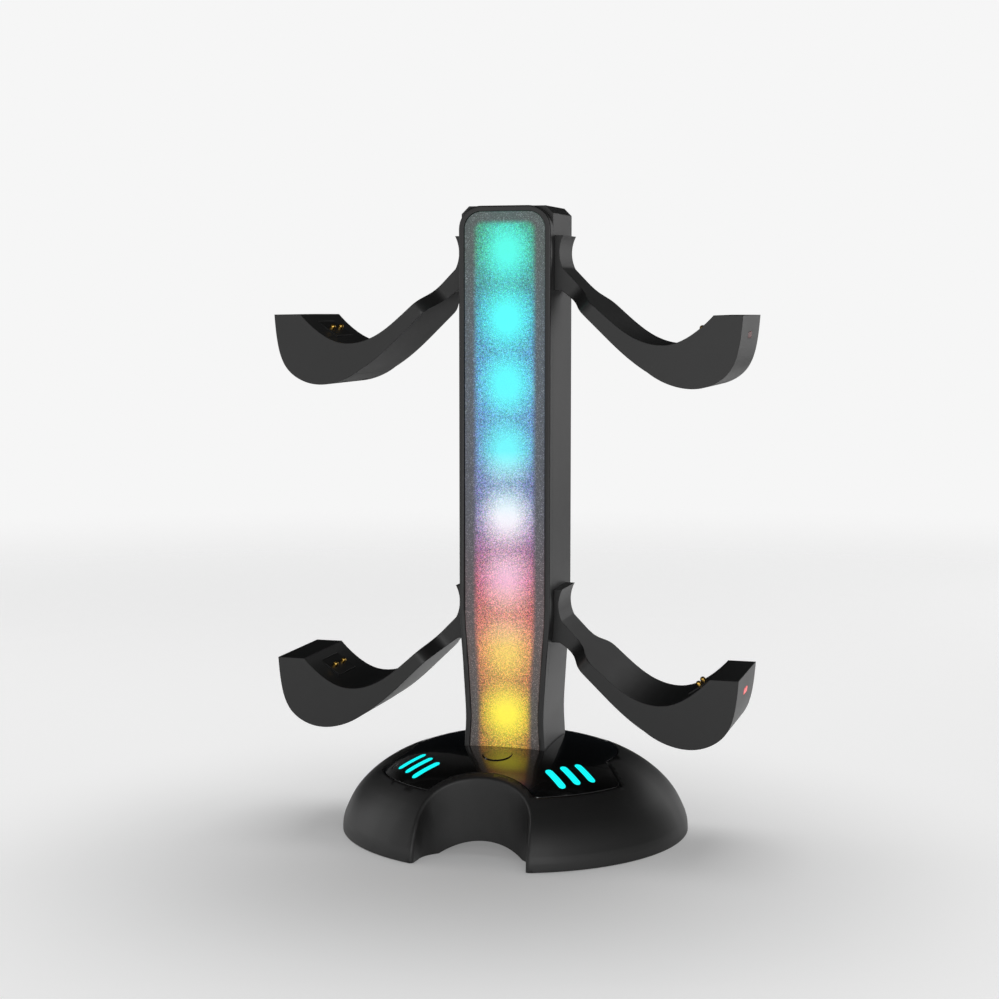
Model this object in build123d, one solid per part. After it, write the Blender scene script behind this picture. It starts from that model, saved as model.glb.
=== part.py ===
from build123d import *
import math
import os

os.makedirs("parts", exist_ok=True)

# Charging dock for four game controllers, in millimetres.
# The origin is on the table under the tower's axis, +Z is up and -Y is the side with the light panel.
# A round domed base carries a slim tower. Two cradles stand out of each side of the tower, one above
# the other, and each holds one controller between its root and its upturned nose.

# The form is drawn about the tower's axis and saved this far forward, which puts the origin in the middle
FRAME_SHIFT = 1.5

# Base: outside form
BASE_R = 58.2
BASE_H = 30.2
CROWN_POWER = 2.6
SIDE_POWER = 1.85
DOME_STATIONS = (0.0, 0.25, 0.45, 0.62, 0.76, 0.87, 0.94, 0.98, 1.0)
BASE_WALL = 3.4
SKIRT_Z = 0.2

# Base: arched notch in front
NOTCH_HALF = 18.0
NOTCH_RISE = 12.5
NOTCH_CENTRE_Y = -(BASE_R - 8.5)
NOTCH_MOUTH_HALF = 19.0
NOTCH_WALL = 3.0
NOTCH_RIM_R = 1.1
CABLE_ARCH_HALF = 14.2
CABLE_ARCH_H = 4.1

# Gloss top plate, let into the dome
PLATE_T = 1.6
PLATE_BACK_R = 34.4
PLATE_FROM_NOTCH = 3.0
LOBE_R = BASE_R - 13.4
LOBE_ROOT_Y = -9.0
LOBE_LEAN = 34.7
LOBE_CORNER_R = 3.0
LOBE_INNER_R = 1.2
PLATE_GAP = 0.25
SIDE_GROOVE = 1.0
SIDE_GROOVE_FRONT_Y = -19.5

# Light bars, three on each side
BAR_LENGTH = 9.5
BAR_WIDTH = 2.5
BAR_PITCH = 5.75
BAR_FROM_RIM = 8.2
BAR_AROUND = -45.7
BAR_ANGLE = -41.3
BAR_GAP = 0.1
BAR_COUNT = 3
GUIDE_FLANGE_T = 1.2
GUIDE_MARGIN = 2.0
GUIDE_LEG = 2.4
GUIDE_BOARD_Z = BASE_H - 17.2

# Mode button
BUTTON_R = 4.7
BUTTON_FROM_TOWER = 8.0
BUTTON_GAP = 0.25
BUTTON_PROUD = 0.3
BUTTON_TRAVEL = 0.8
BUTTON_FLANGE_R = 6.2
BUTTON_FLANGE_T = 1.0
BUTTON_STEM_R = 1.8
BUTTON_BOARD = (22.0, 11.6)
BUTTON_BOARD_Z = BASE_H - 12.0
BUTTON_POST_X = 8.6
BUTTON_POST_R = 2.0
SWITCH_SIDE = 6.0
SWITCH_H = 3.5
SWITCH_PLUNGER_R = 1.7
SWITCH_PLUNGER_H = 0.8
SWITCH_GAP = 0.05

# Tower
TOWER_TOP = 207.0
TOWER_DEPTH = 28.0
TOWER_HALF = 15.4
TOWER_FOOT_HALF = 13.8
TOWER_FOOT_Z = BASE_H - 3.2
TOWER_WAIST = ((13.3, 11.0), (13.7, 21.0), (14.6, 35.0))
TOWER_STRAIGHT_RISE = 49.0
FRAME_T = 3.5
FRAME_CORNER_R = 7.5
HOUSING_CORNER = 2.5
TOWER_WALL = 2.0
FLOOR_T = 3.0
SEAT_GAP = 0.15

TOWER_FRONT = -TOWER_DEPTH / 2
TOWER_BACK = TOWER_DEPTH / 2
HOUSING_FRONT = TOWER_FRONT + FRAME_T
BUTTON_AT_Y = TOWER_FRONT - BUTTON_FROM_TOWER

# Light panel in the tower's front frame
PANEL_BORDER = 1.75
PANEL_SET_BACK = 0.4
PANEL_FACE_T = 1.2
PANEL_FLANGE_T = 1.4
PANEL_FLANGE = 0.8
PANEL_GAP = 0.2
FRAME_SILL_Z = TOWER_FOOT_Z + 1.6
FRAME_EDGE_R = 0.5

# Light board behind the panel
LAMP_FIRST_Z = 41.1
LAMP_COUNT = 8
LAMP_TOP_GAP = 11.2
LAMP_PITCH = (TOWER_TOP - LAMP_TOP_GAP - LAMP_FIRST_Z) / (LAMP_COUNT - 1)
LAMP_SIDE = 5.0
LAMP_T = 1.6
BOARD_T = 1.2
LIGHT_BOARD_HALF = 9.0
LIGHT_BOARD_Y = -2.8
RAIL_X = 7.0
RAIL_T = 2.0

# Cradles: side view of the right-hand lower one, in X and Z
LEVEL_PITCH = TOWER_TOP - 91.7
CRADLE_HALF = 18.0
ROOT_HALF = 8.5
ROOT_FOOT = (17.5, 64.5)
ARM_BELOW = ((26.0, 57.7), (36.0, 48.1))
ARM_CREASE = (48.2, 38.5)
NOSE_BELOW = ((57.0, 34.2), (66.0, 33.9), (73.8, 38.5), (77.3, 47.5))
NOSE_TOP = (78.3, 56.6)
NOSE_TOP_IN_X = 69.0
SEAT_POINTS = ((63.6, 51.6), (55.0, 47.4), (45.0, 48.8), (34.0, 56.4), (24.0, 65.6))
ROOT_SEAT = (18.2, 71.5)
ROOT_WAIST = (16.95, 77.0)
ROOT_LIP = (18.3, 82.2)
ARM_SLOPE = 43.0
FLARE_ORIGIN = (26.0, 60.0)
FLARE_START = -7.0
FLARE_END = 4.0

# Cradles: hollow nose, its cover and what it holds
NOSE_WALL = 2.4
INNER_STATIONS = 10
COVER_FROM_X = 50.0
COVER_TO_X = 68.5
COVER_BELOW_Z = 40.0
COVER_GAP = 0.15
POST_X = 58.0
POST_Y = 9.5
POST_R = 2.2
POST_TOP_Z = 44.0
CONTACT_AT = (63.6, 51.6)
CONTACT_TILT = 34.4
BLOCK = (8.0, 15.0, 6.0)
BLOCK_PROUD = 0.4
BLOCK_FRONT_T = 3.0
PIN_R = 0.9
PIN_RUNNING_GAP = 0.05
PIN_Y = 3.8
PIN_PROUD = 1.6
PIN_TRAVEL = 1.0
PIN_SHOULDER_R = 1.4
PIN_SHOULDER_T = 0.8
PIN_WELL_R = 1.6
PIN_TAIL_R = 0.6
PIN_TAIL = 0.9
CONTACT_BOARD = (9.0, 24.0)
CONTACT_BOARD_T = 1.0
RIB_Y = 10.6
RIB_T = 1.6
LAMP_Z = 50.4
LAMP_SLOT = (7.5, 2.0)
LAMP_FLANGE = 1.0
LAMP_GAP = 0.1

# Bottom cover, feet, weights and the board with the charging inlet
COVER_Z = 4.2
COVER_T = 2.0
COVER_R = BASE_R - BASE_WALL - 1.8
FOOT_R = 5.0
FOOT_CIRCLE_R = COVER_R - 8.0
FOOT_ANGLES = (-45.0, 45.0)
BALLAST_R = (COVER_R - 27.0, COVER_R - 11.0)
BALLAST_H = 7.0
BALLAST_FROM = -20.0
BALLAST_TO = 50.0
POST_CIRCLE_R = COVER_R - 6.5
POST_ANGLES = (-18.0, 66.0, 114.0, 198.0)
COVER_POST_R = 3.2
MAIN_BOARD_HALF = 14.0
MAIN_BOARD_LENGTH = 32.4
MAIN_BOARD_INSET = 3.0
STANDOFF = 2.0
SOCKET = (8.94, 7.2, 3.26)
SOCKET_SKIN = 0.35
SOCKET_MOUTH_Y = BASE_R - 6.0
SOCKET_TONGUE = (6.6, 4.4, 0.7)
BOOT_RECESS = (12.6, 6.8)
SOCKET_GAP = 0.12

# Screws
SCREW_R = 1.25
SCREW_HEAD_R = 2.3
SCREW_HEAD_H = 1.2
SCREW_GAP = 0.05
HEAD_GAP = 0.2
HEAD_SUNK = 0.4
TOWER_SCREW_AT = (9.0, 7.0)
TOWER_SCREW_UP = 7.0
TOWER_BOSS_R = 3.0
ARM_SCREW_Z = 67.4
ARM_SCREW_Y = 4.5
ARM_SCREW_R = 1.0
ARM_HEAD_R = 1.9
ARM_BOSS_R = 3.0
ARM_BOSS_X = 12.4
ARM_SCREW_END_X = 20.0
ARM_SCREW_SPARE = 0.4
PEDESTAL = (35.0, 32.0)
PEDESTAL_Z = BASE_H - 10.2
WIRE_HOLE_R = 3.5


def save(name, shape):
    """Write one piece to its own file."""
    export_step(Pos(0, -FRAME_SHIFT, 0) * shape, f"parts/{name}.step")


def both_sides(name, shape):
    """Write a right-hand piece and its mirror image."""
    save(f"{name}_right", shape)
    save(f"{name}_left", mirror(shape, about=Plane.YZ))


def slab(face, y_front, y_back):
    """Extrude a face drawn in X and Z between two depths."""
    return extrude(Pos(0, y_back, 0) * (Plane.XZ * face), amount=y_back - y_front, dir=(0, -1, 0))


def upright(radius, x, y, z_low, z_high):
    """A vertical cylinder between two heights."""
    height = z_high - z_low
    return Pos(x, y, z_low + height / 2) * Cylinder(radius, height)


def block(x_span, y_span, z_span):
    """A box given by its spans along the three axes."""
    size = [high - low for low, high in (x_span, y_span, z_span)]
    centre = [(high + low) / 2 for low, high in (x_span, y_span, z_span)]
    return Pos(*centre) * Box(*size)


def symmetric(value):
    """The two values on either side of the middle."""
    return (-value, value)


def around_base(radius, angle):
    """A place on a circle about the base's axis."""
    return Pos(radius * math.cos(math.radians(angle)), radius * math.sin(math.radians(angle)))


def dome(inset=0.0):
    """The base's dome, drawn in evenly by inset and solid down to the table."""
    radius, height = BASE_R - inset, BASE_H - inset
    outline = [(radius * t, height * (1 - t**CROWN_POWER) ** (1 / SIDE_POWER)) for t in DOME_STATIONS]
    crown = Spline(*outline, tangents=((1, 0), (0, -1)))
    foot = Polyline((radius, 0), (0, 0), (0, height))
    return revolve(Plane.XZ * make_face(crown.edges() + foot.edges()), Axis.Z)


def notch_plan(grow=0.0):
    """Plan of the arched notch: a half ellipse with sides that open towards the front."""
    half, mouth, front_y = NOTCH_HALF + grow, NOTCH_MOUTH_HALF + grow, -BASE_R - 5
    arch = EllipticalCenterArc((0, NOTCH_CENTRE_Y), half, NOTCH_RISE + grow, start_angle=0, arc_size=180)
    sides = Polyline((-half, NOTCH_CENTRE_Y), (-mouth, front_y), (mouth, front_y), (half, NOTCH_CENTRE_Y))
    return make_face(arch.edges() + sides.edges())


def plate_plan(grow=0.0):
    """Plan of the gloss plate: a round back, and two lobes that reach forward beside the notch."""
    back = Circle(PLATE_BACK_R + grow)
    lean = math.radians(LOBE_LEAN)
    waist_x = math.sqrt(PLATE_BACK_R**2 - LOBE_ROOT_Y**2) + grow / math.cos(lean)
    front_x = waist_x + (BASE_R + LOBE_ROOT_Y) * math.tan(lean)
    fan = Polyline(
        (0, 0),
        (waist_x, LOBE_ROOT_Y),
        (front_x, -BASE_R),
        (-front_x, -BASE_R),
        (-waist_x, LOBE_ROOT_Y),
        close=True,
    )
    lobes = (make_face(fan.edges()) & Circle(LOBE_R + grow)) - notch_plan(PLATE_FROM_NOTCH - grow)
    outer = [v for v in lobes.vertices() if v.Y < LOBE_ROOT_Y - 1 and abs(v.X) > waist_x]
    lobes = fillet(outer, LOBE_CORNER_R + grow)
    inner = [v for v in lobes.vertices() if v.Y < -PLATE_BACK_R and abs(v.X) < waist_x]
    return back + fillet(inner, LOBE_INNER_R + grow)


def recess_plan():
    """Plan of the recess for the plate, with a wider groove along the lobes' two flanks."""
    length = LOBE_ROOT_Y - SIDE_GROOVE_FRONT_Y
    flanks = Pos(0, SIDE_GROOVE_FRONT_Y + length / 2) * Rectangle(2 * BASE_R, length)
    return plate_plan(PLATE_GAP) + (plate_plan(SIDE_GROOVE) & flanks)


def bar_place():
    """Where the middle of the three right-hand light slots is, and how they are turned."""
    reach, around = LOBE_R - BAR_FROM_RIM, math.radians(BAR_AROUND)
    return Pos(reach * math.cos(around), reach * math.sin(around)) * Rot(0, 0, BAR_ANGLE)


def bar_plan(grow=0.0):
    """Plan of the three light slots on the right-hand side."""
    slot = SlotOverall(BAR_LENGTH + 2 * grow, BAR_WIDTH + 2 * grow)
    slots = Sketch() + [place * slot for place in GridLocations(0, BAR_PITCH, 1, BAR_COUNT)]
    return bar_place() * slots


def column(plan, z_low, z_high):
    """Extrude a plan between two heights."""
    return extrude(Pos(0, 0, z_low) * plan, amount=z_high - z_low)


def tower_face(inset=0.0, corner=FRAME_CORNER_R, chamfered=False, foot_z=TOWER_FOOT_Z):
    """Front view of the tower: straight above, drawn in below by a long curve."""
    top, half, foot = TOWER_TOP - inset, TOWER_HALF - inset, TOWER_FOOT_HALF - inset
    corner = corner - inset
    waist = [(x - inset, TOWER_FOOT_Z + rise) for x, rise in TOWER_WAIST]
    straight_z = TOWER_FOOT_Z + TOWER_STRAIGHT_RISE
    edges = Line((-foot, foot_z), (foot, foot_z)).edges()
    edges += Line((half - corner, top), (corner - half, top)).edges()
    for side in (1, -1):
        points = [(side * foot, foot_z)] + [(side * x, z) for x, z in waist]
        edges += Spline(*points, (side * half, straight_z), tangents=((0, 1), (0, 1))).edges()
        edges += Line((side * half, straight_z), (side * half, top - corner)).edges()
        start, end = (side * half, top - corner), (side * (half - corner), top)
        if chamfered:
            edges += Line(start, end).edges()
        else:
            knee = corner * (1 - math.sqrt(0.5))
            edges += ThreePointArc(start, (side * (half - knee), top - knee), end).edges()
    return make_face(edges)


def housing_solid():
    """The tower housing's outer form, without its hollow."""
    return slab(tower_face(corner=HOUSING_CORNER, chamfered=True), HOUSING_FRONT, TOWER_BACK)


def nose_curve():
    """The underside and outer face of the nose, from the crease to the top."""
    return Spline(ARM_CREASE, *NOSE_BELOW, NOSE_TOP)


def seat_curve():
    """The seat that a controller's grip rests in, from the nose to the root."""
    return Spline((NOSE_TOP_IN_X, NOSE_TOP[1]), *SEAT_POINTS, ROOT_SEAT)


def cradle_profile():
    """Side view of a cradle, from the tower's side out to the nose."""
    root_x = TOWER_HALF - 3
    below = Spline(ROOT_FOOT, *ARM_BELOW, ARM_CREASE)
    nose = nose_curve()
    top = Line(NOSE_TOP, (NOSE_TOP_IN_X, NOSE_TOP[1]))
    seat = seat_curve()
    root = ThreePointArc(ROOT_SEAT, ROOT_WAIST, ROOT_LIP)
    back = Polyline(ROOT_LIP, (root_x, ROOT_LIP[1]), (root_x, ROOT_FOOT[1]), ROOT_FOOT)
    edges = below.edges() + nose.edges() + top.edges() + seat.edges() + root.edges() + back.edges()
    return make_face(edges)


def beside(curve, depth):
    """A spline that runs along a curve at an even distance on its left."""
    points = []
    for index in range(INNER_STATIONS + 1):
        at = curve.position_at(index / INNER_STATIONS)
        along = curve.tangent_at(index / INNER_STATIONS)
        points.append((at.X - along.Y * depth, at.Y + along.X * depth))
    return Spline(*points)


def nose_inside(depth):
    """Side view of the nose's hollow, drawn in from its skin by depth."""
    below, seat = beside(nose_curve(), depth), beside(seat_curve(), depth)
    ends = Line(below @ 1, seat @ 0).edges() + Line(seat @ 1, below @ 0).edges()
    zone = Pos(COVER_FROM_X, 0) * Rectangle(NOSE_TOP[0], NOSE_TOP[1] - depth, align=(Align.MIN, Align.MIN))
    return make_face(below.edges() + seat.edges() + ends) & zone


def flare_cut():
    """What the waist of the arm leaves away, cut square to the arm's slope."""
    slope = math.radians(ARM_SLOPE)
    plane = Plane(
        origin=(FLARE_ORIGIN[0], 0, FLARE_ORIGIN[1]),
        x_dir=(math.cos(slope), 0, -math.sin(slope)),
        z_dir=(math.sin(slope), 0, math.cos(slope)),
    )
    reach = 40.0
    outside = CRADLE_HALF + 2
    middle = (FLARE_START + FLARE_END) / 2
    cut = Part()
    for side in (1, -1):
        flare = Bezier(
            (FLARE_START, side * ROOT_HALF),
            (middle + 1, side * ROOT_HALF),
            (middle, side * CRADLE_HALF),
            (FLARE_END, side * CRADLE_HALF),
        )
        rest = Polyline(
            (FLARE_END, side * CRADLE_HALF),
            (FLARE_END, side * outside),
            (-reach, side * outside),
            (-reach, side * ROOT_HALF),
            (FLARE_START, side * ROOT_HALF),
        )
        cut += extrude(plane * make_face(flare.edges() + rest.edges()), amount=reach, both=True)
    return cut


def contact_place():
    """Local frame of the contacts: +Z out of the seat, +Y along the tower's depth."""
    tilt = math.radians(CONTACT_TILT)
    return Plane(
        origin=(CONTACT_AT[0], 0, CONTACT_AT[1]),
        x_dir=(math.cos(tilt), 0, math.sin(tilt)),
        z_dir=(-math.sin(tilt), 0, math.cos(tilt)),
    ).location


def contact_pin(y):
    """A sprung contact: rounded tip, shank, shoulder that stops it and a short tail."""
    tip_z = BLOCK_PROUD + PIN_PROUD
    wall_z = BLOCK_PROUD - BLOCK_FRONT_T - PIN_RUNNING_GAP
    shank = upright(PIN_R, 0, y, wall_z, tip_z - PIN_R) + Pos(0, y, tip_z - PIN_R) * Sphere(PIN_R)
    shoulder = upright(PIN_SHOULDER_R, 0, y, wall_z - PIN_SHOULDER_T, wall_z)
    tail_z = wall_z - PIN_SHOULDER_T
    return shank + shoulder + upright(PIN_TAIL_R, 0, y, tail_z - PIN_TAIL, tail_z)


def screw(radius, head_radius, length):
    """A screw that points up, with the underside of its head at the origin."""
    head = upright(head_radius, 0, 0, -SCREW_HEAD_H, 0)
    return head + upright(radius, 0, 0, 0, length)


def make_base_shell():
    rim_void = column(notch_plan(), -1, BASE_H + 1)
    outer = dome() - rim_void
    rim = [e for e in outer.edges() if is_notch_rim(e)]
    outer = fillet(rim, NOTCH_RIM_R)
    inner = dome(BASE_WALL) - column(notch_plan(NOTCH_WALL), -1, BASE_H)
    shell = outer - inner
    pedestal = block(symmetric(PEDESTAL[0] / 2), symmetric(PEDESTAL[1] / 2), (PEDESTAL_Z, TOWER_FOOT_Z))
    shell += pedestal & dome(PLATE_T)
    for angle in POST_ANGLES:
        place = around_base(POST_CIRCLE_R, angle)
        shell += place * upright(COVER_POST_R, 0, 0, COVER_Z + COVER_T, BASE_H) & dome(BASE_WALL / 2)
        shell -= place * upright(SCREW_R + SCREW_GAP, 0, 0, 0, COVER_Z + COVER_T + 6)
    for side in (1, -1):
        post = upright(BUTTON_POST_R, side * BUTTON_POST_X, BUTTON_AT_Y, BUTTON_BOARD_Z + BOARD_T, BASE_H)
        shell += post & dome(BASE_WALL / 2 + PLATE_T / 2)
    recess = column(recess_plan(), 10, BASE_H + 1) - dome(PLATE_T + PLATE_GAP / 2)
    shell -= recess
    tower_hole = tower_foot(SEAT_GAP)
    shell -= tower_hole
    shell -= upright(BUTTON_FLANGE_R + BUTTON_GAP, 0, BUTTON_AT_Y, BUTTON_BOARD_Z + SWITCH_H, BASE_H)
    slots = column(bar_plan(BAR_GAP), 5, BASE_H)
    shell -= slots
    shell -= mirror(slots, about=Plane.YZ)
    for x in symmetric(TOWER_SCREW_AT[0]):
        for y in symmetric(TOWER_SCREW_AT[1]):
            shell -= upright(SCREW_R + HEAD_GAP, x, y, 10, BASE_H)
    shell -= upright(WIRE_HOLE_R, 0, 0, 10, BASE_H)
    socket_z = board_top() + SOCKET[2] / 2
    boot = slab(Pos(0, socket_z) * SlotOverall(*BOOT_RECESS), SOCKET_MOUTH_Y, BASE_R + 1)
    mouth = slab(Pos(0, socket_z) * socket_outline(SOCKET_GAP), BASE_R - 12, BASE_R)
    shell -= boot
    shell -= mouth
    shell -= block((-BASE_R - 1, BASE_R + 1), (-BASE_R - 1, BASE_R + 1), (-1, SKIRT_Z))
    return shell - cable_arch()


def cable_arch():
    """The low arch under the notch's back wall, through which cables pass."""
    half = CABLE_ARCH_HALF
    arch = ThreePointArc((-half, 0), (0, CABLE_ARCH_H), (half, 0))
    floor = Polyline((half, 0), (half, -1), (-half, -1), (-half, 0))
    opening = make_face(arch.edges() + floor.edges())
    return slab(opening, NOTCH_CENTRE_Y + 1, NOTCH_CENTRE_Y + NOTCH_RISE + NOTCH_WALL + 2)


def is_notch_rim(edge):
    """True for the edges where the notch's walls meet the dome."""
    middle = edge.position_at(0.5)
    inside = abs(middle.X) < NOTCH_MOUTH_HALF + 1 and middle.Y < NOTCH_CENTRE_Y + NOTCH_RISE + 1
    vertical = abs(edge.tangent_at(0.5).Z) > 0.99
    return inside and middle.Z > 1 and not vertical


def tower_foot(gap):
    """The tower's foot as it passes through the plate and into the shell's seat."""
    half = TOWER_FOOT_HALF + gap
    return block(symmetric(half), symmetric(TOWER_DEPTH / 2 + gap), (TOWER_FOOT_Z, BASE_H + 5))


def board_top():
    """Height of the main board's upper face, which carries the inlet."""
    return COVER_Z + COVER_T + STANDOFF + BOARD_T


def socket_outline(grow=0.0):
    return RectangleRounded(SOCKET[0] + 2 * grow, SOCKET[2] + 2 * grow, SOCKET[2] / 2 - 0.2 + grow)


def make_top_plate():
    plate = (column(plate_plan(), 10, BASE_H + 1) & dome()) - dome(PLATE_T)
    plate -= tower_foot(SEAT_GAP)
    plate -= upright(BUTTON_R + BUTTON_GAP, 0, BUTTON_AT_Y, 10, BASE_H + 1)
    slots = column(bar_plan(BAR_GAP), 10, BASE_H)
    return plate - slots - mirror(slots, about=Plane.YZ)


def make_button():
    cap = upright(BUTTON_R, 0, BUTTON_AT_Y, 10, BASE_H + 2) & dome(-BUTTON_PROUD)
    flange_top = PLATE_T + PLATE_GAP
    cap -= dome(flange_top)
    flange = upright(BUTTON_FLANGE_R, 0, BUTTON_AT_Y, 10, BASE_H) & dome(flange_top)
    flange -= dome(flange_top + BUTTON_FLANGE_T)
    stem_z = BUTTON_BOARD_Z + BOARD_T + SWITCH_H + SWITCH_PLUNGER_H + BUTTON_TRAVEL + SWITCH_GAP
    stem = upright(BUTTON_STEM_R, 0, BUTTON_AT_Y, stem_z, BASE_H) & dome(flange_top)
    return cap + flange + stem


def make_switch():
    top = BUTTON_BOARD_Z + BOARD_T
    half = SWITCH_SIDE / 2
    body = block(symmetric(half), (BUTTON_AT_Y - half, BUTTON_AT_Y + half), (top, top + SWITCH_H))
    plunger = upright(SWITCH_PLUNGER_R, 0, BUTTON_AT_Y, top + SWITCH_H, top + SWITCH_H + SWITCH_PLUNGER_H)
    return body + plunger


def make_button_board():
    half_x, half_y = BUTTON_BOARD[0] / 2, BUTTON_BOARD[1] / 2
    span_y = (BUTTON_AT_Y - half_y, BUTTON_AT_Y + half_y)
    return block(symmetric(half_x), span_y, (BUTTON_BOARD_Z, BUTTON_BOARD_Z + BOARD_T))


def guide_pad(grow=0.0):
    """Plan of the flange that joins the three bars of a light guide."""
    length = BAR_LENGTH + 2 * GUIDE_MARGIN + 2 * grow
    width = (BAR_COUNT - 1) * BAR_PITCH + BAR_WIDTH + 2 * GUIDE_MARGIN + 2 * grow
    return bar_place() * Rectangle(length, width)


def guide_legs():
    length = BAR_LENGTH + 2 * GUIDE_MARGIN - GUIDE_LEG
    width = (BAR_COUNT - 1) * BAR_PITCH + BAR_WIDTH + 2 * GUIDE_MARGIN - GUIDE_LEG
    leg = Rectangle(GUIDE_LEG, GUIDE_LEG)
    return bar_place() * (Sketch() + [corner * leg for corner in GridLocations(length, width, 2, 2)])


def make_light_guide():
    under = BASE_WALL + PLATE_GAP / 5
    bars = (column(bar_plan(), 8, BASE_H) & dome()) - dome(under + GUIDE_FLANGE_T / 2)
    flange = (column(guide_pad(), 8, BASE_H) & dome(under)) - dome(under + GUIDE_FLANGE_T)
    legs = column(guide_legs(), GUIDE_BOARD_Z, BASE_H) & dome(under + GUIDE_FLANGE_T / 2)
    return bars + flange + legs


def make_bar_board():
    return column(guide_pad(), GUIDE_BOARD_Z - BOARD_T, GUIDE_BOARD_Z)


def make_bottom_cover():
    cover = column(Circle(COVER_R) - notch_plan(NOTCH_WALL + COVER_GAP), COVER_Z, COVER_Z + COVER_T)
    for angle in POST_ANGLES:
        place = around_base(POST_CIRCLE_R, angle)
        cover -= place * upright(SCREW_R + HEAD_GAP, 0, 0, 0, BASE_H)
        cover -= place * upright(SCREW_HEAD_R + HEAD_GAP, 0, 0, 0, COVER_Z + SCREW_HEAD_H)
    low, high = main_board_span()
    for x in symmetric(MAIN_BOARD_HALF - MAIN_BOARD_INSET):
        for y in (low + MAIN_BOARD_INSET, high - MAIN_BOARD_INSET - 4):
            cover += upright(2.0, x, y, COVER_Z + COVER_T, COVER_Z + COVER_T + STANDOFF)
    return cover


def make_ballast():
    inner, outer = BALLAST_R
    low = COVER_Z + COVER_T
    start, sweep = BALLAST_FROM, BALLAST_TO - BALLAST_FROM
    rims = [CenterArc((0, 0), radius, start, sweep) for radius in (inner, outer)]
    ends = [Line(rims[0] @ end, rims[1] @ end) for end in (0, 1)]
    plan = make_face(Curve() + rims + ends)
    return column(plan, low, low + BALLAST_H)


def make_main_board():
    low = COVER_Z + COVER_T + STANDOFF
    return block(symmetric(MAIN_BOARD_HALF), main_board_span(), (low, low + BOARD_T))


def main_board_span():
    """Where the main board starts and ends along Y, just behind the inlet's mouth."""
    end = SOCKET_MOUTH_Y - 3.8
    return end - MAIN_BOARD_LENGTH, end


def make_socket():
    z = board_top() + SOCKET[2] / 2
    front = SOCKET_MOUTH_Y
    back = front - SOCKET[1]
    outer = slab(Pos(0, z) * socket_outline(), back, front)
    void = slab(Pos(0, z) * socket_outline(-SOCKET_SKIN), back + 1.0, front)
    width, length, thick = SOCKET_TONGUE
    tongue = block(symmetric(width / 2), (back + 0.5, back + 1.0 + length), (z - thick / 2, z + thick / 2))
    return outer - void + tongue


def make_tower_housing():
    shell = housing_solid()
    floor_z = TOWER_FOOT_Z + FLOOR_T
    void_face = tower_face(TOWER_WALL, corner=HOUSING_CORNER + 1, chamfered=True, foot_z=floor_z)
    shell -= slab(void_face, HOUSING_FRONT - 1, TOWER_BACK - TOWER_WALL)
    board_low, board_high = light_board_span()
    for side in (1, -1):
        rail_span = sorted((side * RAIL_X, side * (RAIL_X + RAIL_T)))
        shell += block(rail_span, (LIGHT_BOARD_Y, TOWER_BACK - 1), (board_low, board_high))
        for y in symmetric(TOWER_SCREW_AT[1]):
            x = side * TOWER_SCREW_AT[0]
            shell += upright(TOWER_BOSS_R, x, y, floor_z - 1, floor_z + TOWER_SCREW_UP - 2)
            shell -= upright(SCREW_R + SCREW_GAP, x, y, TOWER_FOOT_Z, floor_z + TOWER_SCREW_UP - 2)
    shell -= upright(WIRE_HOLE_R, 0, 0, TOWER_FOOT_Z, floor_z)
    bosses = Part()
    holes = Part()
    for level in (0, LEVEL_PITCH):
        for y in symmetric(ARM_SCREW_Y):
            at = Pos(0, y, ARM_SCREW_Z + level) * Rot(0, 90, 0)
            for side in (1, -1):
                low, high = sorted((side * ARM_BOSS_X, side * (TOWER_HALF - 1.2)))
                bosses += at * upright(ARM_BOSS_R, 0, 0, low, high)
            holes += at * Cylinder(ARM_SCREW_R + HEAD_GAP, 2 * TOWER_HALF + 2)
    shell += bosses & housing_solid()
    return shell - holes


def light_board_span():
    """Where the light board starts and ends along the tower."""
    low = LAMP_FIRST_Z - 6.0
    high = LAMP_FIRST_Z + LAMP_PITCH * (LAMP_COUNT - 1) + 6.0
    return low, high


def panel_face(inset, sill):
    return tower_face(inset, foot_z=sill)


def make_front_frame():
    frame = slab(tower_face(), TOWER_FRONT, HOUSING_FRONT)
    front_edges = frame.faces().sort_by(Axis.Y)[0].outer_wire().edges()
    frame = fillet([e for e in front_edges if e.center().Z > FRAME_SILL_Z], FRAME_EDGE_R)
    frame -= slab(panel_face(PANEL_BORDER, FRAME_SILL_Z), TOWER_FRONT - 1, HOUSING_FRONT + 1)
    step_y = TOWER_FRONT + PANEL_SET_BACK + PANEL_FACE_T
    seat = panel_face(PANEL_BORDER - PANEL_FLANGE, FRAME_SILL_Z - PANEL_FLANGE)
    frame -= slab(seat, step_y, HOUSING_FRONT + 1)
    return frame


def make_light_panel():
    front = TOWER_FRONT + PANEL_SET_BACK
    step_y = front + PANEL_FACE_T
    face = slab(panel_face(PANEL_BORDER + PANEL_GAP, FRAME_SILL_Z + PANEL_GAP), front, step_y)
    inset = PANEL_GAP - PANEL_FLANGE
    flange_face = panel_face(PANEL_BORDER + inset, FRAME_SILL_Z + inset)
    return face + slab(flange_face, step_y, step_y + PANEL_FLANGE_T)


def make_light_board():
    low, high = light_board_span()
    return block(symmetric(LIGHT_BOARD_HALF), (LIGHT_BOARD_Y - BOARD_T, LIGHT_BOARD_Y), (low, high))


def make_light_packages():
    front = LIGHT_BOARD_Y - BOARD_T
    half = LAMP_SIDE / 2
    lamps = []
    for index in range(LAMP_COUNT):
        z = LAMP_FIRST_Z + index * LAMP_PITCH
        lamps.append(block(symmetric(half), (front - LAMP_T, front), (z - half, z + half)))
    return Part() + lamps


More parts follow.
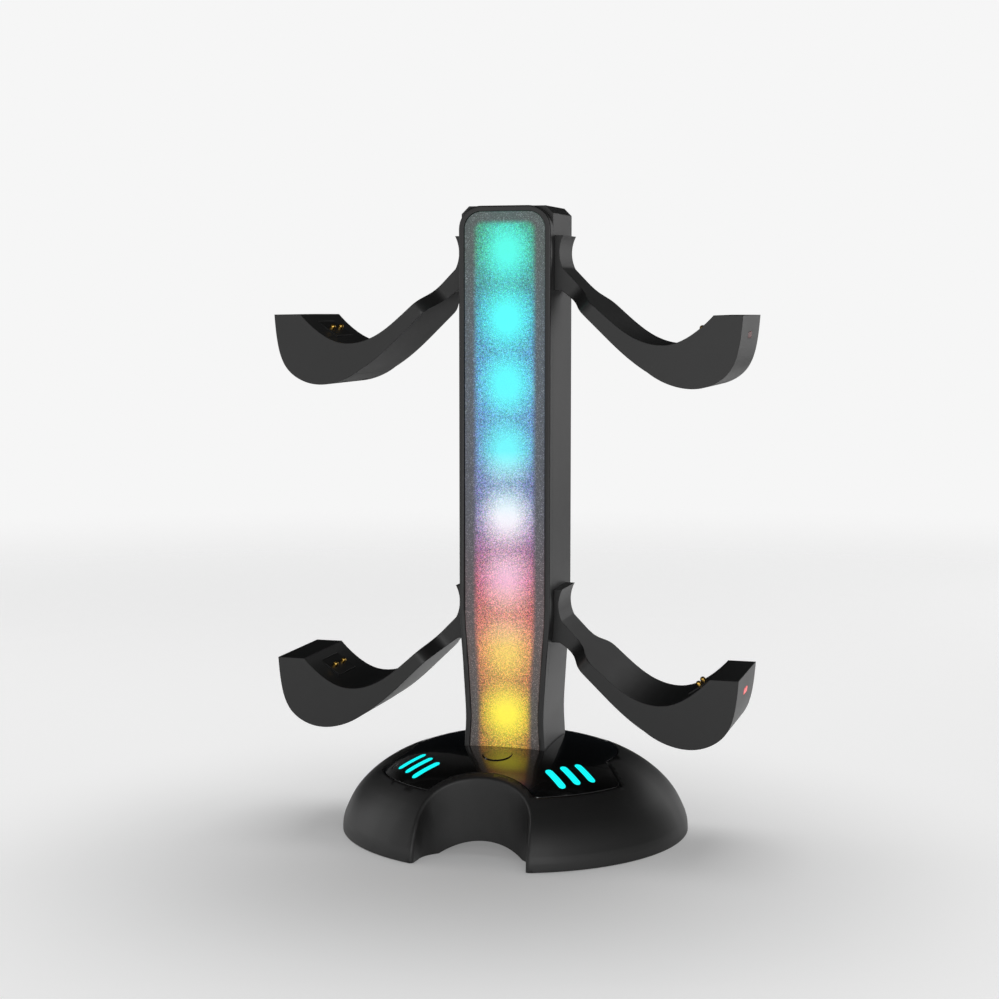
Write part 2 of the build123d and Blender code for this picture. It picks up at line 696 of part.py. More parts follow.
def make_tray():
    """A cradle's tray on the lower right, before the tower's side is cut from its root."""
    profile = cradle_profile()
    solid = slab(profile, -CRADLE_HALF, CRADLE_HALF) - flare_cut()
    place = contact_place()
    inside = nose_inside(NOSE_WALL)
    inner_half = CRADLE_HALF - NOSE_WALL
    solid -= slab(inside, -inner_half, inner_half)
    solid -= cover_window(0)
    for y in symmetric(POST_Y):
        solid += upright(POST_R, POST_X, y, 0, NOSE_TOP[1]) & slab(inside, -inner_half, inner_half)
        solid -= upright(SCREW_R + SCREW_GAP, POST_X, y, 0, POST_TOP_Z)
    ribs = Part()
    for side in (1, -1):
        span = sorted((side * RIB_Y, side * (RIB_Y + RIB_T)))
        ribs += place * block(symmetric(3.0), span, (BLOCK_PROUD - BLOCK[2], 0))
    solid += ribs & slab(profile, -CRADLE_HALF, CRADLE_HALF)
    half_x, half_y = BLOCK[0] / 2 + COVER_GAP, BLOCK[1] / 2 + COVER_GAP
    solid -= place * block(symmetric(half_x), symmetric(half_y), symmetric(BLOCK[2]))
    solid -= lamp_hole(LAMP_GAP)
    for y in symmetric(ARM_SCREW_Y):
        along_x = Pos(0, y, ARM_SCREW_Z) * Rot(0, 90, 0)
        end_x = ARM_SCREW_END_X + ARM_SCREW_SPARE
        solid -= along_x * upright(ARM_SCREW_R + SCREW_GAP, 0, 0, ARM_BOSS_X, end_x)
    return solid


def cover_window(shrink):
    """The opening under the nose that its cover fills, less shrink all round."""
    span_x = (COVER_FROM_X + shrink, COVER_TO_X - shrink)
    half = CRADLE_HALF - NOSE_WALL - shrink
    return block(span_x, symmetric(half), (0, COVER_BELOW_Z))


def lamp_window(grow):
    return SlotOverall(LAMP_SLOT[0] + 2 * grow, LAMP_SLOT[1] + 2 * grow)


def lamp_hole(grow):
    """A slot along Y through the nose's outer wall."""
    plane = Plane(origin=(NOSE_TOP[0] - 6, 0, LAMP_Z), x_dir=(0, 1, 0), z_dir=(1, 0, 0))
    return extrude(plane * lamp_window(grow), amount=12)


def make_nose_cover():
    skin = cradle_profile() - nose_inside(NOSE_WALL)
    cover = slab(skin, -CRADLE_HALF, CRADLE_HALF) & cover_window(COVER_GAP)
    for y in symmetric(POST_Y):
        cover -= upright(SCREW_R + HEAD_GAP, POST_X, y, 0, POST_TOP_Z)
        cover -= upright(SCREW_HEAD_R + HEAD_GAP, POST_X, y, 0, cover_head_z())
    return cover


def cover_head_z():
    """Where the underside of a nose screw's head bears on the cover."""
    return NOSE_BELOW[0][1] + SCREW_HEAD_H + HEAD_SUNK


def make_contact_block():
    size_x, size_y, size_z = BLOCK
    body = block(symmetric(size_x / 2), symmetric(size_y / 2), (BLOCK_PROUD - size_z, BLOCK_PROUD))
    for y in symmetric(PIN_Y):
        body -= upright(PIN_R + PIN_RUNNING_GAP, 0, y, -size_z, BLOCK_PROUD + 1)
        body -= upright(PIN_WELL_R, 0, y, -size_z, BLOCK_PROUD - BLOCK_FRONT_T)
    return contact_place() * body


def make_contact_board():
    top = BLOCK_PROUD - BLOCK[2]
    half_x, half_y = CONTACT_BOARD[0] / 2, CONTACT_BOARD[1] / 2
    return contact_place() * block(symmetric(half_x), symmetric(half_y), (top - CONTACT_BOARD_T, top))


def make_charge_lamp():
    lens = lamp_hole(0) & slab(cradle_profile(), -CRADLE_HALF, CRADLE_HALF)
    inside = slab(nose_inside(NOSE_WALL + LAMP_GAP / 2), -CRADLE_HALF, CRADLE_HALF)
    behind = slab(nose_inside(NOSE_WALL + LAMP_FLANGE), -CRADLE_HALF, CRADLE_HALF)
    flange = lamp_hole(LAMP_FLANGE) & inside
    return (lens + flange) - behind


# Base
save("base_shell", make_base_shell())
save("top_plate", make_top_plate())
save("bottom_cover", make_bottom_cover())
save("mode_button", make_button())
save("press_switch", make_switch())
save("button_board", make_button_board())
save("main_board", make_main_board())
save("usb_c_socket", make_socket())
both_sides("light_guide", make_light_guide())
both_sides("bar_light_board", make_bar_board())
both_sides("ballast", make_ballast())
for spot, angle in zip(("front", "back"), FOOT_ANGLES):
    both_sides(f"foot_{spot}", around_base(FOOT_CIRCLE_R, angle) * upright(FOOT_R, 0, 0, 0, COVER_Z))

cover_screws = []
for angle in POST_ANGLES:
    place = around_base(POST_CIRCLE_R, angle) * Pos(0, 0, COVER_Z + SCREW_HEAD_H)
    cover_screws.append(place * screw(SCREW_R, SCREW_HEAD_R, 6))
save("cover_screws", Part() + cover_screws)

tower_screws = []
for x in symmetric(TOWER_SCREW_AT[0]):
    for y in symmetric(TOWER_SCREW_AT[1]):
        length = TOWER_FOOT_Z - PEDESTAL_Z + TOWER_SCREW_UP
        tower_screws.append(Pos(x, y, PEDESTAL_Z) * screw(SCREW_R, SCREW_HEAD_R, length))
save("tower_screws", Part() + tower_screws)

# Tower
save("tower_housing", make_tower_housing())
save("tower_front_frame", make_front_frame())
save("light_panel", make_light_panel())
save("light_board", make_light_board())
save("light_packages", make_light_packages())

# Cradles: one set is made on the lower right and repeated by mirror and level
cradle_set = {
    "nose_cover": make_nose_cover(),
    "contact_block": make_contact_block(),
    "contact_board": make_contact_board(),
    "contact_pin_front": contact_place() * contact_pin(-PIN_Y),
    "contact_pin_back": contact_place() * contact_pin(PIN_Y),
    "charge_lamp": make_charge_lamp(),
}
tray = make_tray()
tower_side = housing_solid()
nose_screws = []
arm_screws = []
for level_name, rise in (("lower", 0.0), ("upper", LEVEL_PITCH)):
    both_sides(f"tray_{level_name}", Pos(0, 0, rise) * tray - tower_side)
    for piece_name, piece in cradle_set.items():
        both_sides(f"{piece_name}_{level_name}", Pos(0, 0, rise) * piece)
    for side in (1, -1):
        for y in symmetric(POST_Y):
            at = Pos(side * POST_X, y, cover_head_z() + rise)
            nose_screws.append(at * screw(SCREW_R, SCREW_HEAD_R, 8))
        for y in symmetric(ARM_SCREW_Y):
            at = Pos(side * ARM_BOSS_X, y, ARM_SCREW_Z + rise) * Rot(0, 90 * side, 0)
            arm_screws.append(at * screw(ARM_SCREW_R, ARM_HEAD_R, ARM_SCREW_END_X - ARM_BOSS_X))
save("nose_cover_screws", Part() + nose_screws)
save("arm_screws", Part() + arm_screws)
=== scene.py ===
import math

import bmesh
import bpy
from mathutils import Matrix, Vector


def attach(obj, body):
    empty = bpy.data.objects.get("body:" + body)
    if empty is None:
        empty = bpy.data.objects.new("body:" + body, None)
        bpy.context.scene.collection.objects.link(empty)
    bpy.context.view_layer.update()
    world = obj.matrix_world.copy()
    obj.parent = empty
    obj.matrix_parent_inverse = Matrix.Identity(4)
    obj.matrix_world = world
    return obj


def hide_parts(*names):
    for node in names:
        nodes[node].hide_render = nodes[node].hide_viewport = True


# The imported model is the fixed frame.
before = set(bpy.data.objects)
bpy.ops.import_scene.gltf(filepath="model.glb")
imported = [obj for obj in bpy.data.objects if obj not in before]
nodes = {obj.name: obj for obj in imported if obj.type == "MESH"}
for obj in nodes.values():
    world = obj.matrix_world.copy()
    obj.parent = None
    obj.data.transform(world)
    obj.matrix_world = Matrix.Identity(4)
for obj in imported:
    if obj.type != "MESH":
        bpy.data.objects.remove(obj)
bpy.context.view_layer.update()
MM = 0.001

# Camera: a long lens a little above the dock and to the right of its front, as the photograph
# shows it. The numbers come from a fit to the tower's edges and the round base.
CAMERA_AT = (174.2, -626.5, 176.0)
CAMERA_TURN = 16.05
CAMERA_DOWN = 5.76
LENS_MM = 70.5
SENSOR_MM = 36.0
CLIP_RANGE = (0.01, 20.0)

camera_data = bpy.data.cameras.new("camera")
camera_data.lens = LENS_MM
camera_data.sensor_width = SENSOR_MM
camera_data.clip_start = CLIP_RANGE[0]
camera_data.clip_end = CLIP_RANGE[1]
camera = bpy.data.objects.new("camera", camera_data)
bpy.context.scene.collection.objects.link(camera)
camera.location = Vector(CAMERA_AT) * MM
camera.rotation_euler = (math.radians(90 - CAMERA_DOWN), 0, math.radians(CAMERA_TURN))
bpy.context.scene.camera = camera
bpy.context.scene.view_settings.view_transform = "Standard"


def colour(text):
    """A colour socket's linear value from an sRGB hex such as 2B2B2B."""
    parts = [int(text[i : i + 2], 16) / 255 for i in (0, 2, 4)]
    linear = [c / 12.92 if c <= 0.04045 else ((c + 0.055) / 1.055) ** 2.4 for c in parts]
    return (*linear, 1.0)


def add(tree, kind, sockets=None, **settings):
    """Adds a node. Each socket takes a number, a colour or another node's output."""
    node = tree.nodes.new(kind)
    for name, value in settings.items():
        setattr(node, name, value)
    for name, value in (sockets or {}).items():
        if isinstance(value, bpy.types.NodeSocket):
            tree.links.new(value, node.inputs[name])
        else:
            node.inputs[name].default_value = value
    return node


# Studio: a light tent. The camera sees an even white surround. What lights the dock is bright at
# the level of the table and in front of it, and dim overhead and behind, so that its sides catch
# light while its upper faces stay dark.
SURROUND_COLOUR = "F6F6F6"
TENT_WALL_COLOUR = "FFFFFF"
TENT_ROOF_COLOUR = "484848"
TENT_WALL_TOP = 0.12
TENT_ROOF_FROM = 0.62
TENT_BACK_SHADE = 0.14
TENT_SHADE_Y = (-0.7, 0.4)

world = bpy.data.worlds.new("studio")
bpy.context.scene.world = world
world.use_nodes = True
tree = world.node_tree
tree.nodes.clear()
where = add(tree, "ShaderNodeTexCoord")
split = add(tree, "ShaderNodeSeparateXYZ", {"Vector": where.outputs["Generated"]})
ramp = add(tree, "ShaderNodeValToRGB", {"Fac": split.outputs["Z"]})
ramp.color_ramp.elements[0].position = TENT_WALL_TOP
ramp.color_ramp.elements[0].color = colour(TENT_WALL_COLOUR)
ramp.color_ramp.elements[1].position = TENT_ROOF_FROM
ramp.color_ramp.elements[1].color = colour(TENT_ROOF_COLOUR)
shade = add(
    tree,
    "ShaderNodeMapRange",
    {
        "Value": split.outputs["Y"],
        "From Min": TENT_SHADE_Y[0],
        "From Max": TENT_SHADE_Y[1],
        "To Min": 1.0,
        "To Max": TENT_BACK_SHADE,
    },
    interpolation_type="SMOOTHSTEP",
)
tent = add(
    tree,
    "ShaderNodeBackground",
    {"Color": ramp.outputs["Color"], "Strength": shade.outputs[0]},
)
seen = add(tree, "ShaderNodeBackground", {"Color": colour(SURROUND_COLOUR), "Strength": 1.0})
ray = add(tree, "ShaderNodeLightPath")
chosen = add(
    tree,
    "ShaderNodeMixShader",
    {0: ray.outputs["Is Camera Ray"], 1: tent.outputs[0], 2: seen.outputs[0]},
)
add(tree, "ShaderNodeOutputWorld", {"Surface": chosen.outputs[0]})

# Floor: white studio paper that glows a little from below and fades into the surround. Its glow
# is weaker near the dock and just in front of it, a painted shadow, and the dock also leaves a
# real soft shadow on it.
FLOOR_RADIUS = 3.0
FLOOR_CORNERS = 96
FLOOR_FADE = (0.30, 1.05)
FLOOR_COLOUR = "C8C8C8"
PAINTED_SHADOW_CENTRE = (0.0, -0.05, 0.0)
PAINTED_SHADOW_REACH = 0.20
GLOW_IN_AND_OUT_OF_PAINTED_SHADOW = (0.18, 0.52)

bpy.ops.object.select_all(action="DESELECT")
bpy.ops.mesh.primitive_circle_add(
    vertices=FLOOR_CORNERS, radius=FLOOR_RADIUS, fill_type="NGON", location=(0, 0, 0)
)
floor = bpy.context.object
floor.name = "studio_floor"
paper = bpy.data.materials.new("white_studio_paper_with_painted_shadow")
paper.use_nodes = True
tree = paper.node_tree
tree.nodes.clear()
where = add(tree, "ShaderNodeTexCoord")
reach = add(tree, "ShaderNodeVectorMath", {0: where.outputs["Object"]}, operation="LENGTH")
fade = add(
    tree,
    "ShaderNodeMapRange",
    {"Value": reach.outputs["Value"], "From Min": FLOOR_FADE[0], "From Max": FLOOR_FADE[1]},
    interpolation_type="SMOOTHSTEP",
)
paper_skin = add(tree, "ShaderNodeBsdfDiffuse", {"Color": colour(FLOOR_COLOUR)})
# Painted shadow: the glow is dimmest at a point just in front of the dock and rises to full
# strength within a reach around it.
painted_shadow_pool = add(
    tree,
    "ShaderNodeVectorMath",
    {0: where.outputs["Object"], 1: PAINTED_SHADOW_CENTRE},
    operation="DISTANCE",
)
glow = add(
    tree,
    "ShaderNodeMapRange",
    {
        "Value": painted_shadow_pool.outputs["Value"],
        "From Max": PAINTED_SHADOW_REACH,
        "To Min": GLOW_IN_AND_OUT_OF_PAINTED_SHADOW[0],
        "To Max": GLOW_IN_AND_OUT_OF_PAINTED_SHADOW[1],
    },
    interpolation_type="SMOOTHSTEP",
)
paper_glow = add(tree, "ShaderNodeEmission", {"Strength": glow.outputs[0]})
lit = add(tree, "ShaderNodeAddShader", {0: paper_skin.outputs[0], 1: paper_glow.outputs[0]})
clear = add(tree, "ShaderNodeBsdfTransparent")
whole = add(
    tree,
    "ShaderNodeMixShader",
    {0: fade.outputs[0], 1: lit.outputs[0], 2: clear.outputs[0]},
)
add(tree, "ShaderNodeOutputMaterial", {"Surface": whole.outputs[0]})
floor.data.materials.append(paper)


# Softboxes: one in front, one on the left, one behind on the right and one overhead. The one
# overhead isn't mirrored, so that it lights the dock without a white patch in its gloss.
def softbox(name, at, aim, size, watts, mirrored=True):
    """A rectangular area light at a place in millimetres, turned to face another."""
    data = bpy.data.lights.new(name, "AREA")
    data.shape = "RECTANGLE"
    data.size, data.size_y = size[0] * MM, size[1] * MM
    data.energy = watts
    lamp = bpy.data.objects.new(name, data)
    bpy.context.scene.collection.objects.link(lamp)
    lamp.location = Vector(at) * MM
    lamp.rotation_euler = (Vector(aim) - Vector(at)).to_track_quat("-Z", "Y").to_euler()
    lamp.visible_glossy = mirrored
    lamp.visible_camera = False


softbox("softbox_front", at=(330, -760, 300), aim=(0, 0, 60), size=(420, 420), watts=1.25)
softbox("softbox_left", at=(-640, 60, 260), aim=(0, 0, 40), size=(360, 420), watts=0.55)
softbox("softbox_back_right", at=(340, 640, 240), aim=(0, 0, 120), size=(240, 420), watts=0.38)
softbox(
    "softbox_top", at=(0, 260, 950), aim=(0, 0, 0), size=(600, 600), watts=3.8, mirrored=False
)

# Black flag: a card that stands behind the dock, out of the camera's sight. It keeps the bright
# paper out of the polished plate, so that the plate stays black up to the tower's foot.
FLAG_WIDTH = 500
FLAG_HEIGHT = 320
FLAG_AT = (-200, 300, 160)
FLAG_BLACK = "101214"

bpy.ops.object.select_all(action="DESELECT")
bpy.ops.mesh.primitive_plane_add(size=1, location=(0, 0, 0))
flag = bpy.context.object
flag.name = "studio_black_flag"
for corner in flag.data.vertices:
    corner.co = Vector(
        (FLAG_AT[0] + corner.co.x * FLAG_WIDTH, FLAG_AT[1], FLAG_AT[2] + corner.co.y * FLAG_HEIGHT)
    ) * MM
card = bpy.data.materials.new("matt_black_card")
card.use_nodes = True
tree = card.node_tree
tree.nodes.clear()
card_skin = add(tree, "ShaderNodeBsdfDiffuse", {"Color": colour(FLAG_BLACK)})
add(tree, "ShaderNodeOutputMaterial", {"Surface": card_skin.outputs[0]})
flag.data.materials.append(card)
flag.visible_camera = False
flag.visible_diffuse = False
flag.visible_shadow = False
flag.visible_transmission = False

# Base shell: one injection moulding in black ABS, spark-eroded in the tool to a fine satin, with
# the arched notch in front. Its copy here has merged facets so that the dome is smooth.
ABS_BLACK = "1B1B1B"
SATIN_ROUGHNESS = 0.46
SPARK_GRAIN_MM = 0.35
GRAIN_DEPTH_MM = 0.02
GRAIN_TONE = 0.1
FLOW_MM = 28
FLOW_GLOSS = 0.04
PLASTIC_IOR = 1.53
COAT_ROUGHNESS = 0.02
EASED_EDGE_MM = 0.35
EASED_SAMPLES = 4


def moulded(name, base, roughness, grain_mm, relief, coat=0.0, eased_mm=EASED_EDGE_MM):
    """Moulded plastic: a fine eroded grain, and a gloss that drifts as the melt flowed."""
    material = bpy.data.materials.new(name)
    material.use_nodes = True
    tree = material.node_tree
    tree.nodes.clear()
    where = add(tree, "ShaderNodeTexCoord")
    grain = add(
        tree,
        "ShaderNodeTexNoise",
        {
            "Vector": where.outputs["Object"],
            "Scale": 1000 / grain_mm,
            "Detail": 2.0,
            "Roughness": 0.6,
        },
    )
    flow = add(
        tree,
        "ShaderNodeTexNoise",
        {
            "Vector": where.outputs["Object"],
            "Scale": 1000 / FLOW_MM,
            "Detail": 3.0,
            "Roughness": 0.5,
        },
    )
    dull = add(
        tree,
        "ShaderNodeMapRange",
        {
            "Value": flow.outputs["Fac"],
            "To Min": roughness - FLOW_GLOSS,
            "To Max": roughness + FLOW_GLOSS,
        },
    )
    tone = add(
        tree,
        "ShaderNodeMapRange",
        {"Value": grain.outputs["Fac"], "To Min": 1 - GRAIN_TONE, "To Max": 1 + GRAIN_TONE},
    )
    shade = add(
        tree,
        "ShaderNodeVectorMath",
        {0: colour(base)[:3], "Scale": tone.outputs[0]},
        operation="SCALE",
    )
    eased = add(tree, "ShaderNodeBevel", {"Radius": eased_mm * MM}, samples=EASED_SAMPLES)
    bump = add(
        tree,
        "ShaderNodeBump",
        {
            "Height": grain.outputs["Fac"],
            "Strength": relief,
            "Distance": GRAIN_DEPTH_MM * MM,
            "Normal": eased.outputs[0],
        },
    )
    skin = add(
        tree,
        "ShaderNodeBsdfPrincipled",
        {
            "Base Color": shade.outputs[0],
            "Roughness": dull.outputs[0],
            "IOR": PLASTIC_IOR,
            "Coat Weight": coat,
            "Coat Roughness": COAT_ROUGHNESS,
            "Normal": bump.outputs[0],
        },
    )
    add(tree, "ShaderNodeOutputMaterial", {"Surface": skin.outputs[0]})
    return material


def finish(material, *names):
    """Gives CAD nodes their finish."""
    for name in names:
        node = nodes[name]
        node.data.materials.clear()
        node.data.materials.append(material)


MERGE_MM = 0.002
FLAT_WITHIN = 0.5
BEVEL_FROM = 40
BEVEL_SEGMENTS = 2
SMOOTH_BELOW = 32
FLAT_SIDE_WEIGHT = 100


def smooth_copy(
    name, material, body="dock", angle=SMOOTH_BELOW, edge_mm=0.0, flat_sided=False
):
    """A CAD node's copy in its place, facets merged and curves shaded smooth, angles in degrees.

    With edge_mm its sharp edges are bevelled. With flat_sided the large flat faces lead the
    shading, so that they stay flat beside a rounded edge.
    """
    source = nodes[name]
    bpy.ops.object.select_all(action="DESELECT")
    copy = bpy.data.objects.new(f"{name}_finished", source.data.copy())
    bpy.context.scene.collection.objects.link(copy)
    bpy.context.view_layer.objects.active = copy
    copy.select_set(True)
    shape = bmesh.new()
    shape.from_mesh(copy.data)
    bmesh.ops.remove_doubles(shape, verts=shape.verts, dist=MERGE_MM * MM)
    if edge_mm:
        bmesh.ops.dissolve_limit(
            shape,
            angle_limit=math.radians(FLAT_WITHIN),
            verts=shape.verts,
            edges=shape.edges,
            delimit={"NORMAL"},
        )
    shape.to_mesh(copy.data)
    shape.free()
    if edge_mm:
        bevel = copy.modifiers.new("edge", "BEVEL")
        bevel.width = edge_mm * MM
        bevel.segments = BEVEL_SEGMENTS
        bevel.limit_method = "ANGLE"
        bevel.angle_limit = math.radians(BEVEL_FROM)
        bevel.use_clamp_overlap = True
        bpy.ops.object.modifier_apply(modifier="edge")
    bpy.ops.object.shade_smooth_by_angle(angle=math.radians(angle))
    if flat_sided:
        even = copy.modifiers.new("even_sides", "WEIGHTED_NORMAL")
        even.keep_sharp = True
        even.mode = "FACE_AREA_WITH_ANGLE"
        even.weight = FLAT_SIDE_WEIGHT
        bpy.ops.object.modifier_apply(modifier="even_sides")
    copy.data.materials.clear()
    copy.data.materials.append(material)
    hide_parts(name)
    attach(copy, body)
    return copy


satin_abs = moulded("satin_moulded_abs", ABS_BLACK, SATIN_ROUGHNESS, SPARK_GRAIN_MM, relief=0.25)
base_shell = smooth_copy("base_shell", satin_abs, flat_sided=True)
matt_abs = moulded("matt_moulded_abs", "161616", roughness=0.6, grain_mm=0.5, relief=0.3)
finish(matt_abs, "bottom_cover")

# Top plate and mode button: black ABS polished to a piano black. The thin plate is let into the
# dome and mirrors the lit panel. The button's edge shows in it as a fine ring.
polished = moulded(
    "polished_black_abs",
    "060606",
    roughness=0.22,
    grain_mm=1.5,
    relief=0.02,
    coat=1.0,
    eased_mm=0.08,
)
top_plate = smooth_copy("top_plate", polished, flat_sided=True)
mode_button = smooth_copy("mode_button", polished, body="button_body")

# Light guides: three bars of clear polycarbonate on each side of the base, moulded as one piece.
# Cyan light comes up through them, slightly uneven, as a haze in the plastic scatters it.
GUIDE_LIGHT = "10F8F8"
GUIDE_PLASTIC = "0C6E70"
GUIDE_HAZE_MM = 0.8
GUIDE_UNEVEN = (0.92, 1.06)

guide_cyan = bpy.data.materials.new("lit_polycarbonate_guide")
guide_cyan.use_nodes = True
tree = guide_cyan.node_tree
tree.nodes.clear()
where = add(tree, "ShaderNodeTexCoord")
haze = add(
    tree,
    "ShaderNodeTexNoise",
    {"Vector": where.outputs["Object"], "Scale": 1000 / GUIDE_HAZE_MM, "Detail": 1.0},
)
even = add(
    tree,
    "ShaderNodeMapRange",
    {"Value": haze.outputs["Fac"], "To Min": GUIDE_UNEVEN[0], "To Max": GUIDE_UNEVEN[1]},
)
tint = add(
    tree,
    "ShaderNodeVectorMath",
    {0: colour(GUIDE_LIGHT)[:3], "Scale": even.outputs[0]},
    operation="SCALE",
)
skin = add(
    tree,
    "ShaderNodeBsdfPrincipled",
    {
        "Base Color": colour(GUIDE_PLASTIC),
        "Roughness": 0.35,
        "IOR": 1.58,
        "Emission Color": tint.outputs[0],
        "Emission Strength": 1.0,
    },
)
add(tree, "ShaderNodeOutputMaterial", {"Surface": skin.outputs[0]})
finish(guide_cyan, "light_guide_left", "light_guide_right")

# Light panel: a grey translucent diffuser with fine glitter in it. Eight colour-changing lamps
# behind it glow through its middle, and its border stays unlit.
LAMP_FIRST_Z = 41.3
LAMP_PITCH = 21.6
LAMP_X = 0.9
LAMP_HAZE = ("8A5F33", "BA7458", "A25265", "6F709E", "597BAC", "5494C0", "4294AF", "388A71")
LAMP_CORE = ("FFF04A", "F8DA6E", "F6C0DA", "F0F2FA", "6CF4FA", "58F8FC", "50FCFC", "50FAE6")
LAMP_POWER = ("F0F0F0", "C4C4C4", "D2D2D2", "F2F2F2", "F0F0F0", "FAFAFA", "FAFAFA", "F0F0F0")
SPOT_HALF_X = 12.4
SPOT_HALF_Z = 13.8
BAND_LEVEL = 0.22
LIT_HALF = 9.9
LIT_TOP = 201.6
LIT_CORNER_R = 2.6
LIT_DRAWN_IN = 1.4
LIT_DRAWN_IN_Z = (42.0, 76.0)
LIT_FADE = 1.15
GLITTER_MM = 0.21
FLECK_DEPTH = (0.45, 1.6)
FLECK_TINT = 0.5
FAINTEST_FLECK = (0.0, 0.96)
FLECK_SWING = (1.7, 0.07)
BORDER_GREY = "585A5C"
BORDER_LEAK = 0.07
BORDER_PAINTED_GLINT = (0.95, 3.4)
PAINTED_GLINT_RARITY = 8.0
UNLIT_GREY_SHARE = 0.1

panel_material = bpy.data.materials.new("glitter_diffuser_acrylic")
panel_material.use_nodes = True
tree = panel_material.node_tree
tree.nodes.clear()
where = add(tree, "ShaderNodeTexCoord")
place = add(
    tree,
    "ShaderNodeVectorMath",
    {0: where.outputs["Object"], "Scale": 1000.0},
    operation="SCALE",
)
split = add(tree, "ShaderNodeSeparateXYZ", {"Vector": place.outputs[0]})
across = add(tree, "ShaderNodeMath", {0: split.outputs["X"]}, operation="ABSOLUTE").outputs[0]
from_axis = add(
    tree, "ShaderNodeMath", {0: split.outputs["X"], 1: LAMP_X}, operation="SUBTRACT"
).outputs[0]
height = split.outputs["Z"]

# How far each point is from the nearest lamp, as a share of the reach of a lamp's glow, gives a
# bright spot over each lamp. A fainter band joins the spots up the middle.
above_first = add(
    tree, "ShaderNodeMath", {0: height, 1: LAMP_FIRST_Z}, operation="SUBTRACT"
).outputs[0]
from_lamp = add(
    tree,
    "ShaderNodeMath",
    {0: above_first, 1: LAMP_PITCH / 2, 2: -LAMP_PITCH / 2},
    operation="WRAP",
).outputs[0]
offset = add(tree, "ShaderNodeCombineXYZ", {"X": from_axis, "Y": from_lamp})
share = add(
    tree,
    "ShaderNodeVectorMath",
    {0: offset.outputs[0], 1: (1 / SPOT_HALF_X, 1 / SPOT_HALF_Z, 0.0)},
    operation="MULTIPLY",
)
spread = add(tree, "ShaderNodeVectorMath", {0: share.outputs[0]}, operation="LENGTH")
spot = add(
    tree,
    "ShaderNodeMapRange",
    {"Value": spread.outputs["Value"], "To Min": 1.0, "To Max": 0.0},
    interpolation_type="SMOOTHSTEP",
).outputs[0]
band = add(
    tree,
    "ShaderNodeMapRange",
    {"Value": across, "From Max": SPOT_HALF_X, "To Min": BAND_LEVEL, "To Max": 0.0},
    interpolation_type="SMOOTHERSTEP",
).outputs[0]

# The lamps' colours run up the panel: one ramp for the haze between them, one for their cores and
# one for how bright each core is.
last_z = LAMP_FIRST_Z + LAMP_PITCH * (len(LAMP_CORE) - 1)
along = add(
    tree, "ShaderNodeMapRange", {"Value": height, "From Min": LAMP_FIRST_Z, "From Max": last_z}
).outputs[0]
hues = []
for colours in (LAMP_HAZE, LAMP_CORE, LAMP_POWER):
    ramp = add(tree, "ShaderNodeValToRGB", {"Fac": along})
    elements = ramp.color_ramp.elements
    elements.remove(elements[1])
    elements[0].color = colour(colours[0])
    for index in range(1, len(colours)):
        elements.new(index / (len(colours) - 1)).color = colour(colours[index])
    hues.append(ramp.outputs["Color"])
core = add(
    tree, "ShaderNodeMath", {0: spot, 1: hues[2], 2: band}, operation="MULTIPLY_ADD", use_clamp=True
).outputs[0]
light = add(
    tree, "ShaderNodeMix", {0: core, 6: hues[0], 7: hues[1]}, data_type="RGBA"
).outputs[2]

# The lit zone is a little smaller than the panel, drawn in below like it, with round upper corners.
drawn_in = add(
    tree,
    "ShaderNodeMapRange",
    {
        "Value": height,
        "From Min": LIT_DRAWN_IN_Z[0],
        "From Max": LIT_DRAWN_IN_Z[1],
        "To Min": LIT_DRAWN_IN,
        "To Max": 0.0,
    },
    interpolation_type="SMOOTHSTEP",
).outputs[0]
beside = add(tree, "ShaderNodeMath", {0: across, 1: drawn_in}, operation="ADD").outputs[0]
past_side = add(
    tree, "ShaderNodeMath", {0: beside, 1: LIT_HALF - LIT_CORNER_R}, operation="SUBTRACT"
)
past_top = add(
    tree, "ShaderNodeMath", {0: height, 1: LIT_TOP - LIT_CORNER_R}, operation="SUBTRACT"
)
past = add(tree, "ShaderNodeCombineXYZ", {"X": past_side.outputs[0], "Y": past_top.outputs[0]})
corner = add(tree, "ShaderNodeVectorMath", {0: past.outputs[0], 1: (0, 0, 0)}, operation="MAXIMUM")
edge = add(tree, "ShaderNodeVectorMath", {0: corner.outputs[0]}, operation="LENGTH")
lit = add(
    tree,
    "ShaderNodeMapRange",
    {
        "Value": edge.outputs["Value"],
        "From Min": LIT_CORNER_R - LIT_FADE,
        "From Max": LIT_CORNER_R + LIT_FADE,
        "To Min": 1.0,
        "To Max": BORDER_LEAK,
    },
    interpolation_type="SMOOTHSTEP",
).outputs[0]

# Glitter: each fleck has its own brightness and a slight tint. It shows most between the lamps.
# On the border the brightest flecks are painted glints, spots in its grey made several times
# brighter.
flecks = add(
    tree,
    "ShaderNodeTexVoronoi",
    {"Vector": where.outputs["Object"], "Scale": 1000 / GLITTER_MM},
    feature="F1",
)
fleck = add(tree, "ShaderNodeSeparateColor", {"Color": flecks.outputs["Color"]}).outputs[0]
depth = add(
    tree,
    "ShaderNodeMapRange",
    {"Value": fleck, "To Min": FLECK_DEPTH[0], "To Max": FLECK_DEPTH[1]},
).outputs[0]
tinted = add(
    tree,
    "ShaderNodeHueSaturation",
    {"Saturation": FLECK_TINT, "Value": depth, "Color": flecks.outputs["Color"]},
)
faintest = add(
    tree,
    "ShaderNodeMapRange",
    {"Value": core, "To Min": FAINTEST_FLECK[0], "To Max": FAINTEST_FLECK[1]},
).outputs[0]
swing = add(
    tree,
    "ShaderNodeMapRange",
    {"Value": core, "To Min": FLECK_SWING[0], "To Max": FLECK_SWING[1]},
).outputs[0]
